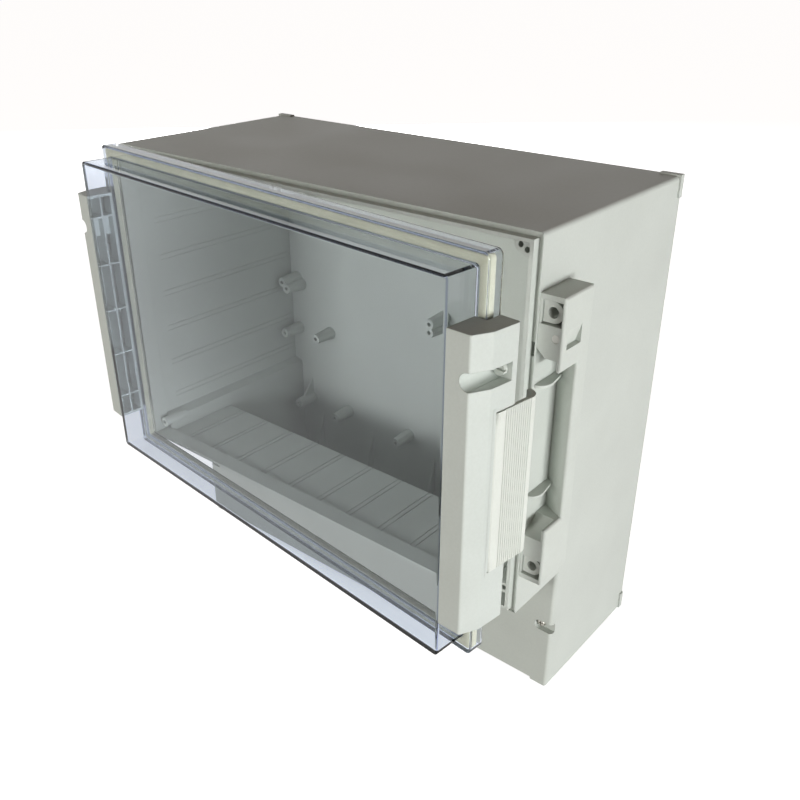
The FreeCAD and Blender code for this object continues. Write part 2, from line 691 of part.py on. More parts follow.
def hood():
    """The clear hood: a deep tray with crisp front edges, a flange, a lip and a gasket channel."""
    half_x = HOOD_HALF_X
    half_z = HOOD_HALF_Z
    wall_rear = -(NECK_STAND + FLANGE_CLEAR)
    z_range = (RIM_MIDDLE - half_z, RIM_MIDDLE + half_z)
    shell = block((-half_x, half_x), (-HOOD_FRONT, wall_rear), z_range)
    shell = shell.makeFillet(HOOD_ROUND, edges_along(shell, Vector(0, 1, 0), lambda p: True))
    front_edges = [e for e in shell.Edges if e.CenterOfMass.y < -HOOD_FRONT + 0.1]
    shell = shell.makeChamfer(HOOD_BEVEL, front_edges)
    inner_x = half_x - HOOD_WALL
    inner_z = half_z - HOOD_WALL
    hollow = block((-inner_x, inner_x), (-HOOD_FRONT + HOOD_WALL, wall_rear + 5),
                   (RIM_MIDDLE - inner_z, RIM_MIDDLE + inner_z))
    flange = block((-FLANGE_HALF_X, FLANGE_HALF_X), (-FLANGE_FRONT, -FLANGE_CLEAR),
                   (RIM_MIDDLE - FLANGE_HALF_Z, RIM_MIDDLE + FLANGE_HALF_Z))
    flange = flange.makeFillet(FLANGE_ROUND, edges_along(flange, Vector(0, 1, 0), lambda p: True))
    channel_x = FLANGE_HALF_X - FLANGE_LIP
    channel_z = FLANGE_HALF_Z - FLANGE_LIP
    channel = block((-channel_x, channel_x), (-FLANGE_FRONT + FLANGE_PLATE, 5),
                    (RIM_MIDDLE - channel_z, RIM_MIDDLE + channel_z))
    channel = channel.makeFillet(FLANGE_ROUND - FLANGE_LIP,
                                 edges_along(channel, Vector(0, 1, 0), lambda p: True))
    return flange.cut(channel).fuse(shell).cut(hollow).removeSplitter()


def lid_gasket():
    """The foam seal: a ring that fills the channel between the hood's wall and the lip."""
    half_x = FLANGE_HALF_X - FLANGE_LIP - GASKET_FIT
    half_z = FLANGE_HALF_Z - FLANGE_LIP - GASKET_FIT
    width = HOOD_MARGIN - FLANGE_LIP - 2 * GASKET_FIT
    front = -FLANGE_FRONT + FLANGE_PLATE + GASKET_FIT
    ring = frame_ring(half_x, half_z, width, (front, front + GASKET_THICKNESS))
    corners = edges_along(ring, Vector(0, 1, 0), lambda p: abs(p.x) > half_x - 0.1)
    return ring.makeFillet(FLANGE_ROUND - FLANGE_LIP, corners)


def strip_outline(inset=0.0):
    """Plan of the right strip from the hood's wall round the flange's lip, or its inside."""
    side = HALF + STRIP_SIDE - inset
    front = -HOOD_FRONT + inset
    rear = -STRIP_REAR - inset
    inner = HOOD_HALF_X + STRIP_FIT - inset
    lip = FLANGE_HALF_X + STRIP_FIT
    step = -FLANGE_FRONT - STRIP_FIT - inset
    return [
        (inner, front),
        (HALF + STRIP_FRONT - inset * 0.4, front + STRIP_FRONT_BACK * 0.4),
        (HALF + STRIP_BEND - inset, front + STRIP_BEND_BACK),
        (side, rear),
        (lip + inset, rear),
        (lip + inset, step),
        (inner, step),
    ]


def strip_shell():
    """The strip's outer skin with rounded outer edges, hollow and open towards the hood."""
    z_range = (RIM_MIDDLE - STRIP_HALF, RIM_MIDDLE + STRIP_HALF)
    body = upright_prism(strip_outline(), z_range)
    bent = edges_along(body, Vector(0, 0, 1), lambda p: p.x > HALF + STRIP_FRONT - 1)
    body = body.makeFillet(STRIP_ROUND, bent)
    hollow = upright_prism(strip_outline(STRIP_WALL), (z_range[0] + STRIP_WALL, z_range[1] - STRIP_WALL))
    return body.cut(hollow)


def strip_ribs():
    """Crossing stiffening ribs inside the strip, seen through the hood's side wall."""
    low = RIM_MIDDLE - STRIP_HALF + 1
    high = RIM_MIDDLE + STRIP_HALF - 1
    inside = upright_prism(strip_outline(STRIP_WALL / 2), (low, high))
    ribs = []
    for index in range(-2, 3):
        z = RIM_MIDDLE + RIB_PITCH * index
        ribs.append(block((HALF - 20, HALF + 20), (-HOOD_FRONT, 0), (z, z + RIB_THICKNESS)))
    middle = -(HOOD_FRONT + FLANGE_FRONT) / 2
    ribs.append(block((HALF - 20, HALF + 20), (middle, middle + RIB_THICKNESS), (low, high)))
    body = ribs[0].multiFuse(ribs[1:]).common(inside)
    clear = HOOD_HALF_X + STRIP_FIT
    return body.cut(block((0, clear), (-HOOD_FRONT, 0), (low, high)))


def flap_seat():
    """The thick wall behind the flap and the window that the flap lies in."""
    inner = HALF + STRIP_SIDE - FLAP_THICKNESS - FLAP_RUNNING
    nose = -FLAP_ROOT - FLAP_THICKNESS / 2
    wall = block((inner - STRIP_WALL, HALF + STRIP_SIDE - 0.7),
                 (nose - FLAP_RUNNING - STRIP_WALL, -STRIP_REAR),
                 (FLAP_BOTTOM - FLAP_GAP - STRIP_WALL, FLAP_TOP + FLAP_GAP + STRIP_WALL))
    window = block((inner, HALF + STRIP_SIDE + 3), (nose - FLAP_RUNNING, 1),
                   (FLAP_BOTTOM - FLAP_GAP, FLAP_TOP + FLAP_GAP))
    return wall, window


def screw_channel():
    """The guide round the lock screw's channel, and the channel, open to the front and the side."""
    rear = -STRIP_REAR - CHANNEL_BACK
    guide = block((CHANNEL_X - CHANNEL_RADIUS - STRIP_WALL, HALF + STRIP_SIDE - 1.5),
                  (-HOOD_FRONT + 1.5, -STRIP_REAR),
                  (CHANNEL_Z - CHANNEL_RADIUS - STRIP_WALL, CHANNEL_Z + CHANNEL_RADIUS + STRIP_WALL))
    inside = upright_prism(strip_outline(STRIP_WALL / 2), (CHANNEL_Z - 20, CHANNEL_Z + 20))
    guide = guide.common(inside)
    channel = rod(CHANNEL_X, CHANNEL_Z, CHANNEL_RADIUS, (-HOOD_FRONT - 1, rear))
    open_side = block((CHANNEL_X, HALF + STRIP_SIDE + 2), (-HOOD_FRONT - 1, rear),
                      (CHANNEL_Z - CHANNEL_RADIUS, CHANNEL_Z + CHANNEL_RADIUS))
    hole = rod(CHANNEL_X, CHANNEL_Z, LOCK_SHANK_RADIUS + LOCK_FIT, (rear - 1, 0))
    return guide, channel.fuse(open_side).fuse(hole)


def strip():
    """The right strip with its ribs, flap window and screw channel."""
    wall, window = flap_seat()
    guide, channel = screw_channel()
    body = strip_shell().multiFuse([strip_ribs(), wall, guide])
    return body.cut([window, channel]).removeSplitter()


def flap():
    """The ribbed flap as it lies when closed: root nose, straight wall, round end and inward lip."""
    inner = FLAP_FACE - FLAP_THICKNESS
    nose = arc_points((FLAP_ROOT_X, -FLAP_ROOT), FLAP_THICKNESS / 2, 180, 360, 9)
    outside = arc_points((HOOK_X, HOOK_BACK), HOOK_RADIUS, 0, 90, 11)
    inside = arc_points((HOOK_X, HOOK_BACK), HOOK_RADIUS - FLAP_THICKNESS, 90, 0, 11)
    lip = [(HOOK_TIP, HOOK_BACK + HOOK_RADIUS), (HOOK_TIP, HOOK_BACK + HOOK_RADIUS - FLAP_THICKNESS)]
    outline = [(inner, -FLAP_ROOT)] + nose[1:] + outside + lip + inside
    body = upright_prism(outline, (FLAP_BOTTOM, FLAP_TOP))
    grips = []
    for index in range(GRIP_COUNT):
        y = HOOK_BACK - 2 - GRIP_PITCH * index
        grips.append(block((FLAP_FACE - GRIP_DEPTH, FLAP_FACE + 1), (y, y + GRIP_PITCH / 2), (0, HEIGHT)))
    return body.cut(grips)


def lock_screw():
    """The slotted lock screw at the bottom of the strip's channel."""
    seat = -STRIP_REAR - CHANNEL_BACK
    head = rod(CHANNEL_X, CHANNEL_Z, LOCK_HEAD_RADIUS, (seat - LOCK_HEAD_HEIGHT, seat))
    shank = rod(CHANNEL_X, CHANNEL_Z, LOCK_SHANK_RADIUS, (seat, -STRIP_REAR + 1))
    slot = block((CHANNEL_X - LOCK_HEAD_RADIUS, CHANNEL_X + LOCK_HEAD_RADIUS),
                 (seat - LOCK_HEAD_HEIGHT - 1, seat - LOCK_HEAD_HEIGHT * 0.45),
                 (CHANNEL_Z - LOCK_SLOT / 2, CHANNEL_Z + LOCK_SLOT / 2))
    return head.fuse(shank).cut(slot)


def flared(shape):
    """The right flap let go: turned outwards about its root until its lip clears the fins."""
    turned = shape.copy()
    turned.rotate(Vector(FLAP_ROOT_X, -FLAP_ROOT, 0), Vector(0, 0, 1), -FLARE_ANGLE)
    return turned


def lid_opened(shape):
    """A piece of the lid turned from closed to the rest angle about the left flap's root."""
    turned = shape.copy()
    turned.rotate(Vector(-FLAP_ROOT_X, -FLAP_ROOT, 0), Vector(0, 0, 1), -LID_REST_ANGLE)
    return turned


def box_pieces():
    """Everything that stands still; the left flap stays snapped on its bracket."""
    right = bracket()
    pieces = {"housing": housing(), "bracket_right": right, "bracket_left": mirrored(right)}
    pieces["hinge_flap"] = mirrored(flap())
    for level, sign in (("upper", 1), ("lower", -1)):
        sleeve = fixing_sleeve(sign)
        pieces["fixing_sleeve_%s_right" % level] = sleeve
        pieces["fixing_sleeve_%s_left" % level] = mirrored(sleeve)
    small = {"blank_plug": blank_plug(), "chamber_screw": chamber_screw(), "screw_insert": screw_insert()}
    for name, shape in small.items():
        pieces[name + "_right"] = shape
        pieces[name + "_left"] = mirrored(shape)
    return pieces


def lid_pieces():
    """Everything that swings with the hood, at the rest angle."""
    side_strip = strip()
    screw = lock_screw()
    closed = {
        "hood": hood(),
        "lid_gasket": lid_gasket(),
        "latch_strip": side_strip,
        "hinge_strip": mirrored(side_strip),
        "latch_flap": flared(flap()),
        "lock_screw_right": screw,
        "lock_screw_left": mirrored(screw),
    }
    return {name: lid_opened(shape) for name, shape in closed.items()}


def main():
    os.makedirs("parts", exist_ok=True)
    pieces = box_pieces()
    pieces.update(lid_pieces())
    for name, shape in pieces.items():
        shape.translate(Vector(0, -DEPTH, -BACK_MIDDLE))
        shape.exportStep(os.path.join("parts", name + ".step"))


main()
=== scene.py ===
import math

import bpy
import numpy as np
from mathutils import Matrix, Vector


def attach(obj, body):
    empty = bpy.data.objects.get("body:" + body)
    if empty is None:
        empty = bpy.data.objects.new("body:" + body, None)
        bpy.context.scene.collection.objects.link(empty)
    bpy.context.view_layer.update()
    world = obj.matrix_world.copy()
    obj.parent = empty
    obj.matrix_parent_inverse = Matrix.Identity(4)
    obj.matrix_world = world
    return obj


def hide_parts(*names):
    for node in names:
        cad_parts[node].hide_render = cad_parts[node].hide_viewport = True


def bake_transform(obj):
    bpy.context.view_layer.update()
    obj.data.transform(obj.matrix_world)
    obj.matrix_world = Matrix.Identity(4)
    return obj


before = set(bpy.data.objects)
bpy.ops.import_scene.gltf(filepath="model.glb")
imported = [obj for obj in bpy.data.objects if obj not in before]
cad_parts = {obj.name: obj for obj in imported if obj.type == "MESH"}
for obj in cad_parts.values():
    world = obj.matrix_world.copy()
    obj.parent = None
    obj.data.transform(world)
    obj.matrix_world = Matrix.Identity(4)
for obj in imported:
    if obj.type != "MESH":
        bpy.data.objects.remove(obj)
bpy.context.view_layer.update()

# The drawing's millimetres, which the new pieces share with the solids that they dress: x from the
# middle, y back from the rim's front, z up from the feet, the lid closed
DEPTH, BACK_MIDDLE, RIM_MIDDLE = 184.0, 192.0, 247.5

# The hood's wall, and the flange round it with its lip and gasket channel
HOOD_HALF_X, HOOD_HALF_Z = 192.5, 127.0
HOOD_FRONT, HOOD_WALL, WALL_REAR = 37.0, 2.5, 6.9
FLANGE_OUT, FLANGE_FRONT, FLANGE_PLATE = 8.5, 14.0, 2.5
FLANGE_LIP, LIP_REAR = 2.2, 2.4
CHANNEL_FLOOR = FLANGE_PLATE - FLANGE_FRONT
CHANNEL_WIDTH = FLANGE_OUT - FLANGE_LIP

# The foam bead: its gaps to the channel, its sides' and crown's depth, and the spacing of its sections
SEAL_SIDE_GAP, SEAL_FLOOR_GAP, SEAL_CHAMFER = 0.35, 0.3, 0.4
SEAL_SHOULDER, SEAL_CROWN, SEAL_SINK = -6.8, -5.2, 0.22
SEAL_STATION = 6.0
# Its slow waves (height, waves in a round, start), and the lump where the pouring ended
SEAL_WAVES = ((0.10, 5, 0.0), (0.07, 13, 1.0), (-0.05, 29, 2.0))
LUMP_HEIGHT, LUMP_LENGTH, LUMP_SHARE = 0.35, 9.0, 0.62

# The flaps' roots, about which flap and lid turn, and how far each is turned at rest
ROOT_X, ROOT_Y = 213.9, -17.0
FLAP_LOW, FLAP_HIGH = 189.5, 297.0
LID_REST, FLAP_REST = math.radians(5.3), math.radians(2.5)

# The web of a film hinge: how far it reaches before and behind the root, how it stands from the root's
# line, and the grip grooves that it carries on from the flap
WEB_BEFORE, WEB_BEHIND, WEB_THICKNESS, WEB_END_GAP = 3.5, 5.3, 0.5, 0.6
WEB_STAND, WEB_SLOPE, WEB_STEP = 0.42, 0.05, 0.82
STEP_MIDDLE, STEP_HALF, BEND_HALF = -1.3, 1.6, 0.8
GROOVE_PITCH, GROOVE_DEPTH, GROOVE_AT, GROOVE_START = 1.9, 0.22, -11.0, -3.0

# The studio in metres: the view of the photograph, and the floor under the feet
EYE = Vector((0.4401, -0.6003, 0.3275))
LOOK = Vector((-0.567, 0.6876, -0.4536))
UPWARDS = Vector((-0.2903, 0.3485, 0.8912))
SENSOR_MM, LENS_MM = 36.0, 39.52
FLOOR_RADIUS, FLOOR_LEVEL = 60.0, -0.1921
LAMP_AIM = Vector((0.0, -0.1, 0.0))


def to_frame(points):
    """Drawing millimetres to the frame: the origin moves to the back's centre, then metres."""
    return (points - np.array([0.0, DEPTH, BACK_MIDDLE])) / 1000.0


def turned(points, middle_x, angle):
    """Points turned about the upright line through (middle_x, ROOT_Y).

    Each new x and y is a sum of the old ones times the angle's cosine and sine.
    """
    cos, sin = math.cos(angle), math.sin(angle)
    x = points[..., 0] - middle_x
    y = points[..., 1] - ROOT_Y
    return np.stack([x * cos + y * sin + middle_x, y * cos - x * sin + ROOT_Y, points[..., 2]], axis=-1)


def on_lid(points):
    """A lid point, drawn closed, turned open about the left flap's root and put in the frame."""
    return to_frame(turned(points, -ROOT_X, LID_REST))


def mesh_piece(name, points, faces, smooth=True):
    """An object from an array of points and lists of corner indices; normals turned outwards."""
    mesh = bpy.data.meshes.new(name)
    mesh.from_pydata(points.reshape(-1, 3).tolist(), [], faces)
    mesh.validate()
    piece = bpy.data.objects.new(name, mesh)
    bpy.context.collection.objects.link(piece)
    bpy.context.view_layer.objects.active = piece
    piece.select_set(True)
    bpy.ops.object.mode_set(mode="EDIT")
    bpy.ops.mesh.select_all(action="SELECT")
    bpy.ops.mesh.normals_make_consistent(inside=False)
    bpy.ops.object.mode_set(mode="OBJECT")
    piece.select_set(False)
    mesh.polygons.foreach_set("use_smooth", np.full(len(mesh.polygons), smooth))
    return piece


def grid_faces(rows, columns, close_rows, close_columns):
    """Quads of a grid of rows by columns, joined end to end where it closes."""
    r = np.arange(rows if close_rows else rows - 1)
    c = np.arange(columns if close_columns else columns - 1)
    r, c = np.meshgrid(r, c, indexing="ij")
    r2, c2 = (r + 1) % rows, (c + 1) % columns
    quads = np.stack([r * columns + c, r * columns + c2, r2 * columns + c2, r2 * columns + c], axis=-1)
    return quads.reshape(-1, 4).tolist()


def rounded_profile(corners, steps=5):
    """Corners (a, b, radius) joined by straight runs, each corner replaced by its arc.

    The arc is a quadratic curve between the points one radius back along each run, which is
    p = (1-t)^2 start + 2t(1-t) corner + t^2 end.
    """
    points = np.array([c[:2] for c in corners], float)
    radii = np.array([c[2] for c in corners], float)
    before = np.roll(points, 1, axis=0) - points
    after = np.roll(points, -1, axis=0) - points
    before /= np.linalg.norm(before, axis=1, keepdims=True)
    after /= np.linalg.norm(after, axis=1, keepdims=True)
    start = points + before * radii[:, None]
    end = points + after * radii[:, None]
    t = np.linspace(0.0, 1.0, steps)[None, :, None]
    arcs = (1 - t) ** 2 * start[:, None] + 2 * t * (1 - t) * points[:, None] + t**2 * end[:, None]
    return [arc if radius > 0 else arc[:1] for arc, radius in zip(arcs, radii)]


def rounded_rectangle(half_x, half_z, radius, steps=7):
    """Rings in the x-z plane: quarter arcs of each radius about the four corner centres."""
    quarter = np.linspace(0.0, math.pi / 2, steps)
    turn = np.arange(4)[:, None] * math.pi / 2 + quarter[None, :]
    sign_x = np.array([1, -1, -1, 1])[None, :, None]
    sign_z = np.array([1, 1, -1, -1])[None, :, None]
    x = sign_x * (half_x - radius)[:, None, None] + radius[:, None, None] * np.cos(turn)[None]
    z = sign_z * (half_z - radius)[:, None, None] + radius[:, None, None] * np.sin(turn)[None]
    return x.reshape(len(radius), -1), z.reshape(len(radius), -1)


def carried_round(profile, corner_at):
    """A profile of (offset, depth) carried round the hood's outline.

    Ring i is a rounded rectangle whose half sizes are the hood's plus offset i, at depth i.
    """
    offset, depth = profile[:, 0], profile[:, 1]
    x, z = rounded_rectangle(HOOD_HALF_X + offset, HOOD_HALF_Z + offset, corner_at(offset))
    y = np.broadcast_to(depth[:, None], x.shape)
    return np.stack([x, y, z + RIM_MIDDLE], axis=-1)


def hood_corner(offset):
    """Corner radius of the hood's ring at each offset from the outside of its wall."""
    return np.interp(offset, [-3.5, -HOOD_WALL, 0.0, CHANNEL_WIDTH, FLANGE_OUT], [0.5, 0.5, 3.2, 1.8, 4.0])


def clear_hood():
    """The hood's wall, followed from the middle of its outside to the middle of its inside."""
    inner = -HOOD_WALL
    front_inside = HOOD_WALL - HOOD_FRONT
    corners = [
        (-1.3, -HOOD_FRONT, 0.0),
        (0.0, -HOOD_FRONT, 1.2),
        (0.0, -FLANGE_FRONT, 0.6),
        (FLANGE_OUT, -FLANGE_FRONT, 0.6),
        (FLANGE_OUT, -LIP_REAR, 0.5),
        (CHANNEL_WIDTH, -LIP_REAR, 0.5),
        (CHANNEL_WIDTH, CHANNEL_FLOOR, 0.4),
        (0.0, CHANNEL_FLOOR, 0.4),
        (0.0, -WALL_REAR, 0.5),
        (inner, -WALL_REAR, 0.5),
        (inner, front_inside, 0.8),
        (inner - 0.9, front_inside, 0.0),
    ]
    points = carried_round(np.concatenate(rounded_profile(corners)), hood_corner)
    rows, columns = points.shape[:2]
    faces = grid_faces(rows, columns, False, True)
    faces.append(list(range(columns)))
    faces.append(list(range((rows - 1) * columns, rows * columns)))
    piece = mesh_piece("clear_hood", on_lid(points), faces)
    # painted edge glow: one on the round of the front edge, nought elsewhere
    painted_edge_glow = np.zeros(rows)
    painted_edge_glow[2:5] = 1.0
    mark = piece.data.attributes.new("painted_edge_glow", "FLOAT", "POINT")
    mark.data.foreach_set("value", np.repeat(painted_edge_glow, columns))
    # flat faces keep flat shading beside the small rounds
    piece.modifiers.new("weighted", "WEIGHTED_NORMAL").weight = 100
    return piece


def foam_corner(offset):
    """Corner radius of the bead's ring at each offset from the outside of the hood's wall."""
    return np.interp(offset, [0.0, CHANNEL_WIDTH], [3.4, 1.8])


def foam_seal():
    """The foam bead: a flat-bottomed section with a domed back, carried round the channel.

    Its crown rises and falls by three slow sines round the ring, with one low lump where the
    pouring ended on its own start.
    """
    middle = CHANNEL_WIDTH / 2
    half = middle - SEAL_SIDE_GAP
    low = CHANNEL_FLOOR + SEAL_FLOOR_GAP
    dome = np.linspace(0.0, math.pi, 15)
    across = np.concatenate([[middle - half, middle - half + SEAL_CHAMFER, middle + half - SEAL_CHAMFER,
                              middle + half], middle + half * np.cos(dome)])
    depth = np.concatenate([[low + SEAL_CHAMFER, low, low, low + SEAL_CHAMFER],
                            SEAL_SHOULDER + (SEAL_CROWN - SEAL_SHOULDER) * np.sin(dome)])
    points = carried_round(np.stack([across, depth], axis=-1), foam_corner)
    # stations along the straight runs too, so that the crown can wave
    ring = np.concatenate([points, points[:, :1]], axis=1)
    step = np.linalg.norm(np.diff(ring[5], axis=0), axis=1)
    along = np.concatenate([[0.0], np.cumsum(step)])
    length = along[-1]
    stations = np.union1d(along, np.arange(0.0, length, SEAL_STATION))[:-1]
    after = np.clip(np.searchsorted(along, stations, side="right"), 1, len(along) - 1)
    share = ((stations - along[after - 1]) / (along[after] - along[after - 1]))[None, :, None]
    rows = ring[:, after - 1] * (1 - share) + ring[:, after] * share
    turn = 2 * math.pi * stations / length
    wave = sum(height * np.sin(count * turn + start) for height, count, start in SEAL_WAVES)
    lump = LUMP_HEIGHT * np.exp(-((stations - LUMP_SHARE * length) / LUMP_LENGTH) ** 2)
    lift = np.clip((depth - SEAL_SHOULDER) / (SEAL_CROWN - SEAL_SHOULDER), 0.0, 1.0)
    rows[..., 1] += lift[:, None] * (wave + lump - SEAL_SINK)[None, :]
    faces = grid_faces(rows.shape[0], rows.shape[1], True, True)
    return mesh_piece("foam_seal", on_lid(rows), faces)


def film_hinge(name, side):
    """The thin web that joins a flap to its strip: a curved band carried up the flap's height.

    Its section steps out by half a sine wave from the strip's face to the flap's face, and carries on
    the flap's grip grooves as clipped cosines. The strip's part of it lies as the lid lies, and the
    flap's part as the flap lies.
    """
    back = np.linspace(-WEB_BEFORE, WEB_BEHIND, 81)
    y = ROOT_Y + back
    step = 0.5 + 0.5 * np.sin(np.clip((back - STEP_MIDDLE) / STEP_HALF, -1.0, 1.0) * math.pi / 2)
    groove = np.clip(2.5 * np.cos(2 * math.pi * (y - GROOVE_AT) / GROOVE_PITCH), -1.0, 1.0) * 0.5 + 0.5
    groove *= np.clip((back - GROOVE_START) / BEND_HALF, 0.0, 1.0)
    slope = WEB_SLOPE * (np.minimum(back, 0.0) + WEB_BEFORE)
    outside = ROOT_X + WEB_STAND + slope + WEB_STEP * step - GROOVE_DEPTH * groove
    section_x = np.concatenate([outside, (outside - WEB_THICKNESS)[::-1]])
    section_y = np.concatenate([y, y[::-1]])
    z = np.linspace(FLAP_LOW + WEB_END_GAP, FLAP_HIGH - WEB_END_GAP, 9)
    x, z = np.meshgrid(section_x, z, indexing="ij")
    y = np.broadcast_to(section_y[:, None], x.shape)
    shut = np.stack([side * x, y, z], axis=-1)
    share = np.clip((y - ROOT_Y + BEND_HALF) / (2 * BEND_HALF), 0.0, 1.0)[..., None]
    lid_lies = turned(shut, -ROOT_X, LID_REST)
    flap_lies = turned(turned(shut, ROOT_X, -FLAP_REST), -ROOT_X, LID_REST) if side > 0 else shut
    rows = lid_lies * (1 - share) + flap_lies * share
    faces = grid_faces(rows.shape[0], rows.shape[1], True, False)
    ends = np.arange(rows.shape[0]) * rows.shape[1]
    faces += [ends.tolist(), (ends + rows.shape[1] - 1).tolist()]
    return mesh_piece(name, to_frame(rows), faces)


def linear(hex_code):
    """An sRGB hex colour as linear light, alpha 1."""
    values = np.array([int(hex_code[i:i + 2], 16) for i in (1, 3, 5)]) / 255.0
    low = values / 12.92
    high = ((values + 0.055) / 1.055) ** 2.4
    return tuple(np.where(values <= 0.04045, low, high)) + (1.0,)


def per_mm(size):
    """The scale of a pattern in the frame's metres, from its real size in millimetres."""
    return 1000.0 / size


def add(tree, kind, settings=None, inputs=None):
    """One node with its settings and its inputs; an input that is a socket is linked."""
    made = tree.nodes.new(kind)
    for name, value in (settings or {}).items():
        setattr(made, name, value)
    for name, value in (inputs or {}).items():
        if isinstance(value, bpy.types.NodeSocket):
            tree.links.new(value, made.inputs[name])
        else:
            made.inputs[name].default_value = value
    return made


def new_material(name):
    """An empty material and its tree, with no node in it."""
    material = bpy.data.materials.new(name)
    material.use_nodes = True
    material.node_tree.nodes.clear()
    return material, material.node_tree


def moulded_plastic(name, pale, dull, roughness, edge_mm):
    """Injection-moulded plastic with a fine spark-eroded grain.

    It looks satin and even; flow in the mould leaves very faint cloudy bands, and the edges
    are softened by the radius of a real moulding.
    """
    material, tree = new_material(name)
    place = add(tree, "ShaderNodeTexCoord").outputs["Object"]
    cloud = add(tree, "ShaderNodeTexNoise", {}, {
        "Vector": place, "Scale": per_mm(90), "Detail": 3.0, "Roughness": 0.55})
    speck = add(tree, "ShaderNodeTexNoise", {}, {"Vector": place, "Scale": per_mm(1.8), "Detail": 2.0})
    mix = add(tree, "ShaderNodeMath", {"operation": "MULTIPLY_ADD"}, {
        0: speck.outputs["Fac"], 1: 0.35, 2: cloud.outputs["Fac"]})
    ramp = add(tree, "ShaderNodeValToRGB", {}, {"Fac": mix.outputs[0]})
    ramp.color_ramp.elements[0].position = 0.45
    ramp.color_ramp.elements[0].color = linear(dull)
    ramp.color_ramp.elements[1].position = 0.9
    ramp.color_ramp.elements[1].color = linear(pale)
    # the grain's pitch is 0.35 mm on the real part, drawn at 0.9 mm so that it shows
    grain = add(tree, "ShaderNodeTexNoise", {}, {"Vector": place, "Scale": per_mm(0.9), "Detail": 3.0})
    soft = add(tree, "ShaderNodeBevel", {"samples": 4}, {"Radius": edge_mm / 1000.0})
    bump = add(tree, "ShaderNodeBump", {}, {
        "Height": grain.outputs["Fac"], "Strength": 0.16, "Distance": 0.0002,
        "Normal": soft.outputs["Normal"]})
    gloss = add(tree, "ShaderNodeMapRange", {}, {
        "Value": cloud.outputs["Fac"], "From Min": 0.3, "From Max": 0.7,
        "To Min": roughness - 0.04, "To Max": roughness + 0.05})
    shader = add(tree, "ShaderNodeBsdfPrincipled", {}, {
        "Base Color": ramp.outputs["Color"], "Roughness": gloss.outputs["Result"],
        "IOR": 1.58, "Specular IOR Level": 0.18, "Normal": bump.outputs["Normal"]})
    add(tree, "ShaderNodeOutputMaterial", {}, {"Surface": shader.outputs["BSDF"]})
    return material


def clear_polycarbonate():
    """Polished clear polycarbonate: nearly colourless face on, with a blue edge glow painted on the round of
    its front edge.

    Its index is matched to the photograph, where the thin walls hardly veil what stands behind.
    """
    material, tree = new_material("clear_polycarbonate")
    place = add(tree, "ShaderNodeTexCoord").outputs["Object"]
    # wiping marks and haze, a few centimetres across
    haze = add(tree, "ShaderNodeTexNoise", {}, {
        "Vector": place, "Scale": per_mm(50), "Detail": 4.0, "Roughness": 0.6})
    gloss = add(tree, "ShaderNodeMapRange", {}, {
        "Value": haze.outputs["Fac"], "From Min": 0.35, "From Max": 0.75, "To Min": 0.0, "To Max": 0.02})
    # painted light: the blue that light running inside the sheet shows at its edges, from the brightener in
    # it, painted on the front edge's round
    painted_edge_glow = add(tree, "ShaderNodeAttribute", {"attribute_name": "painted_edge_glow"})
    colour = add(tree, "ShaderNodeMix", {"data_type": "RGBA"}, {
        "Factor": painted_edge_glow.outputs["Fac"], 6: linear("#FAFCFF"), 7: linear("#B2BAE2")})
    shader = add(tree, "ShaderNodeBsdfPrincipled", {}, {
        "Base Color": colour.outputs[2], "Roughness": gloss.outputs["Result"],
        "IOR": 1.3, "Transmission Weight": 1.0})
    tint = add(tree, "ShaderNodeVolumeAbsorption", {}, {"Color": linear("#D2D7DE"), "Density": 260.0})
    add(tree, "ShaderNodeOutputMaterial", {}, {
        "Surface": shader.outputs["BSDF"], "Volume": tint.outputs["Volume"]})
    return material


def poured_foam():
    """Closed-cell polyurethane foam poured in place: matt cream skin with tiny closed cells."""
    material, tree = new_material("cream_polyurethane_foam")
    place = add(tree, "ShaderNodeTexCoord").outputs["Object"]
    # cells 0.4 mm across, drawn at 0.7 mm so that they show
    cells = add(tree, "ShaderNodeTexVoronoi", {}, {"Vector": place, "Scale": per_mm(0.7)})
    patch = add(tree, "ShaderNodeTexNoise", {}, {"Vector": place, "Scale": per_mm(20), "Detail": 3.0})
    ramp = add(tree, "ShaderNodeValToRGB", {}, {"Fac": patch.outputs["Fac"]})
    ramp.color_ramp.elements[0].position = 0.3
    ramp.color_ramp.elements[0].color = linear("#C0BFA6")
    ramp.color_ramp.elements[1].position = 0.75
    ramp.color_ramp.elements[1].color = linear("#CCCBB4")
    bump = add(tree, "ShaderNodeBump", {}, {
        "Height": cells.outputs["Distance"], "Strength": 0.35, "Distance": 0.0002})
    shader = add(tree, "ShaderNodeBsdfPrincipled", {}, {
        "Base Color": ramp.outputs["Color"], "Roughness": 0.85, "Normal": bump.outputs["Normal"]})
    add(tree, "ShaderNodeOutputMaterial", {}, {"Surface": shader.outputs["BSDF"]})
    return material


